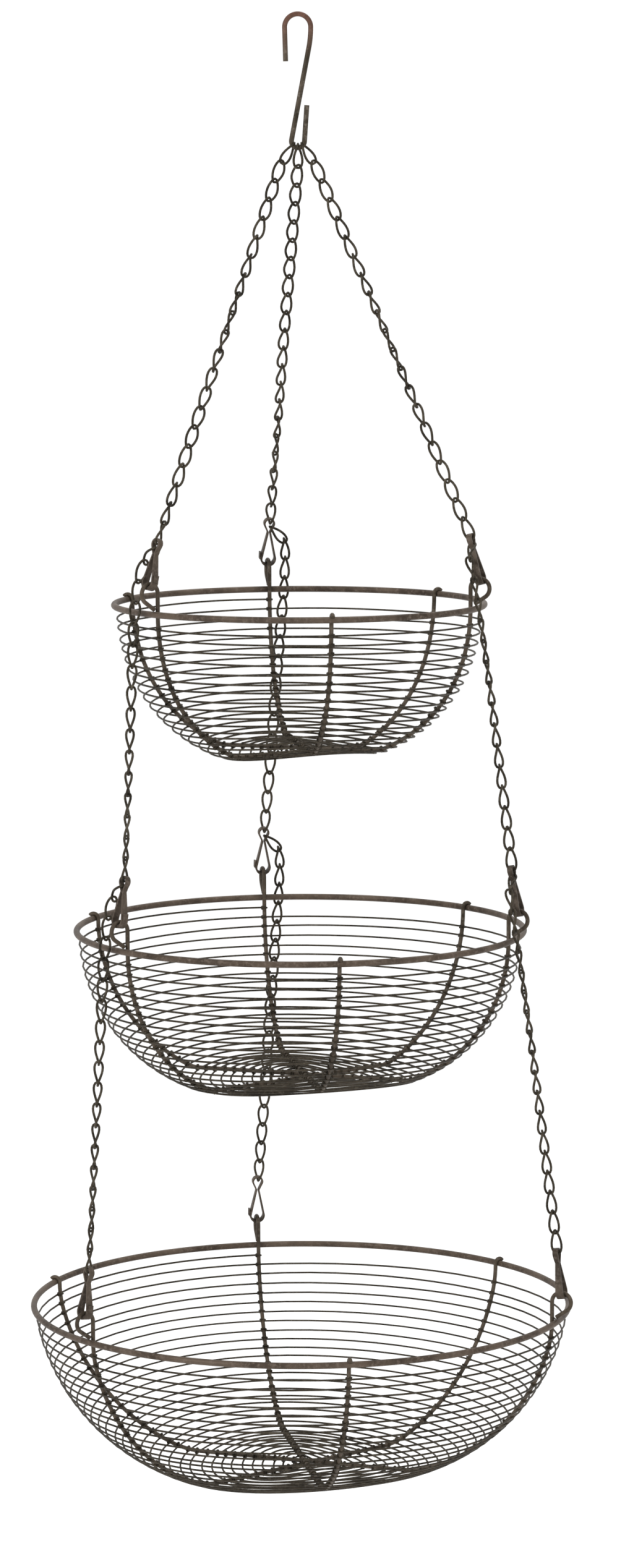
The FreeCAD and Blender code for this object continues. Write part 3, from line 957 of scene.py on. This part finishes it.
wire_up(outline.outputs["Curve"], on_outline.inputs["Curves"])
wire_up(share.outputs[0], on_outline.inputs["Factor"])
wire_up(on_outline.outputs["Position"], split.inputs[0])
wire_up(on_outline.outputs["Tangent"], way.inputs[0])
wire_up(way.outputs["Z"], minus.inputs[0])
wire_up(minus.outputs[0], outwards.inputs["X"])
wire_up(way.outputs["X"], outwards.inputs["Z"])
wire_up(azimuth.outputs[0], phase.inputs[0])
wire_up(phase.outputs[0], wave.inputs[0])
wire_up(wave.outputs[0], level.inputs[0])
wire_up(level.outputs[0], lift.inputs[0])
wire_up(inputs.outputs["Lift_Share"], lift.inputs[1])
wire_up(lift.outputs[0], shallower.inputs[1])
wire_up(split.outputs["Z"], z_lifted.inputs[0])
wire_up(shallower.outputs[0], z_lifted.inputs[1])
wire_up(split.outputs["X"], hoop_place.inputs["X"])
wire_up(z_lifted.outputs[0], hoop_place.inputs["Z"])
wire_up(inputs.outputs["Wire"], wires_sum.inputs[0])
wire_up(inputs.outputs["Hoop_Wire"], wires_sum.inputs[1])
wire_up(wires_sum.outputs[0], offset.inputs[0])
wire_up(outwards.outputs[0], outset.inputs[0])
wire_up(offset.outputs[0], outset.inputs["Scale"])
wire_up(hoop_place.outputs[0], weave_place.inputs[0])
wire_up(outset.outputs[0], weave_place.inputs[1])
wire_up(weave_place.outputs[0], round_weave.inputs["Vector"])
wire_up(azimuth.outputs[0], round_weave.inputs["Angle"])
wire_up(points.outputs["Mesh"], wound.inputs["Geometry"])
wire_up(round_weave.outputs[0], wound.inputs["Position"])
wire_up(wound.outputs["Geometry"], wound_line.inputs["Mesh"])
wire_up(inputs.outputs["Wire"], wire_half.inputs[0])
wire_up(wire_half.outputs[0], section.inputs["Radius"])
wire_up(wound_line.outputs["Curve"], winding.inputs["Curve"])
wire_up(section.outputs["Curve"], winding.inputs["Profile Curve"])

from_last = add("ShaderNodeMath")
from_last.label = "Places since the last hoop"
from_last.operation = "MODULO"
from_last.location = (0, -600)
from_last.inputs[1].default_value = POINTS_BETWEEN_HOOPS
at_hoop = add("FunctionNodeCompare")
at_hoop.label = "On a hoop"
at_hoop.operation = "LESS_THAN"
at_hoop.location = (200, -600)
at_hoop.inputs["B"].default_value = 0.5
round_hoop = add("ShaderNodeVectorRotate")
round_hoop.rotation_type = "Z_AXIS"
round_hoop.location = (1000, -300)
crossings = add("GeometryNodeSetPosition")
crossings.location = (1200, -400)
round_way = add("ShaderNodeVectorRotate")
round_way.label = "Along the hoop"
round_way.rotation_type = "Z_AXIS"
round_way.location = (1000, -500)
round_out = add("ShaderNodeVectorRotate")
round_out.label = "Away from the bowl"
round_out.rotation_type = "Z_AXIS"
round_out.location = (1000, -700)
coil_facing = add("FunctionNodeAxesToRotation")
coil_facing.primary_axis = "Z"
coil_facing.secondary_axis = "X"
coil_facing.location = (1200, -600)
coil_line = add("GeometryNodeCurveSpiral")
coil_line.label = "One turn round the hoop"
coil_line.location = (1000, -900)
coil_line.inputs["Resolution"].default_value = COIL_POINTS
coil_line.inputs["Rotations"].default_value = COIL_TURNS
coil_line.inputs["Height"].default_value = COIL_RISE
coil_drop = add("GeometryNodeTransform")
coil_drop.location = (1200, -900)
coil_drop.inputs["Translation"].default_value = (0.0, 0.0, -COIL_RISE / 2)
coil = add("GeometryNodeCurveToMesh")
coil.location = (1400, -800)
coil.inputs["Fill Caps"].default_value = True
knots = add("GeometryNodeInstanceOnPoints")
knots.label = "A coil at every crossing"
knots.location = (1600, -500)
both = add("GeometryNodeJoinGeometry")
both.location = (1900, 0)
made = add("GeometryNodeRealizeInstances")
made.location = (2000, 0)
smooth = add("GeometryNodeSetShadeSmooth")
smooth.location = (2100, 0)
finished = add("GeometryNodeSetMaterial")
finished.location = (2250, 0)
finished.inputs["Material"].default_value = WEAVE_FINISH

wire_up(number.outputs["Index"], from_last.inputs[0])
wire_up(from_last.outputs[0], at_hoop.inputs["A"])
wire_up(hoop_place.outputs[0], round_hoop.inputs["Vector"])
wire_up(azimuth.outputs[0], round_hoop.inputs["Angle"])
wire_up(points.outputs["Mesh"], crossings.inputs["Geometry"])
wire_up(round_hoop.outputs[0], crossings.inputs["Position"])
wire_up(on_outline.outputs["Tangent"], round_way.inputs["Vector"])
wire_up(azimuth.outputs[0], round_way.inputs["Angle"])
wire_up(outwards.outputs[0], round_out.inputs["Vector"])
wire_up(azimuth.outputs[0], round_out.inputs["Angle"])
wire_up(round_way.outputs[0], coil_facing.inputs["Primary Axis"])
wire_up(round_out.outputs[0], coil_facing.inputs["Secondary Axis"])
wire_up(offset.outputs[0], coil_line.inputs["Start Radius"])
wire_up(offset.outputs[0], coil_line.inputs["End Radius"])
wire_up(coil_line.outputs["Curve"], coil_drop.inputs["Geometry"])
wire_up(coil_drop.outputs["Geometry"], coil.inputs["Curve"])
wire_up(section.outputs["Curve"], coil.inputs["Profile Curve"])
wire_up(crossings.outputs["Geometry"], knots.inputs["Points"])
wire_up(at_hoop.outputs["Result"], knots.inputs["Selection"])
wire_up(coil.outputs["Mesh"], knots.inputs["Instance"])
wire_up(coil_facing.outputs[0], knots.inputs["Rotation"])
wire_up(winding.outputs["Mesh"], both.inputs["Geometry"])
wire_up(knots.outputs["Instances"], both.inputs["Geometry"])
wire_up(both.outputs["Geometry"], made.inputs["Geometry"])
wire_up(made.outputs["Geometry"], smooth.inputs["Geometry"])
wire_up(smooth.outputs["Geometry"], finished.inputs["Geometry"])
wire_up(finished.outputs["Geometry"], output.inputs["Geometry"])
print("weave recipe of", len(weave_recipe.nodes), "nodes")

# %% [markdown]
# ## Wind the three bowls
#
# Each bowl has its own number of rows and its own seed. The winding starts at a hoop, so that
# every crossing falls on one, and it is made at the rim's height.

# %% Wind them
HOOP_GAP = HOOP_WIRE - WELD
FIRST_HOOP_ANGLE = math.radians(AZIMUTH["rear"] - 90.0)
SEEDS = {"top": 1.0, "middle": 2.0, "bottom": 3.0}

for tier in TIERS:
    half_wide, depth = bowl_of(tier)
    height = rim_of(tier)[1]
    shoulder = SHOULDER_SHARE[tier] * depth
    outline_points, length = bowl_outline(half_wide, depth, shoulder, FLAT_RADIUS[tier])
    rows = round(length / ROW_PITCH) - 1
    weave = cooked(
        tier + "_weave_wire", points_mesh(tier + "_outline", outline_points), weave_recipe,
        Rows=rows, Start_Angle=FIRST_HOOP_ANGLE, Lift_Share=HOOP_GAP / depth, Seed=SEEDS[tier],
    )
    weave.data.transform(Matrix.Translation((0, 0, height)))
    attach(weave, tier + "_basket")
    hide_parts(tier + "_weave")
    print(tier, "weave:", rows, "rows,", len(weave.data.polygons), "faces")
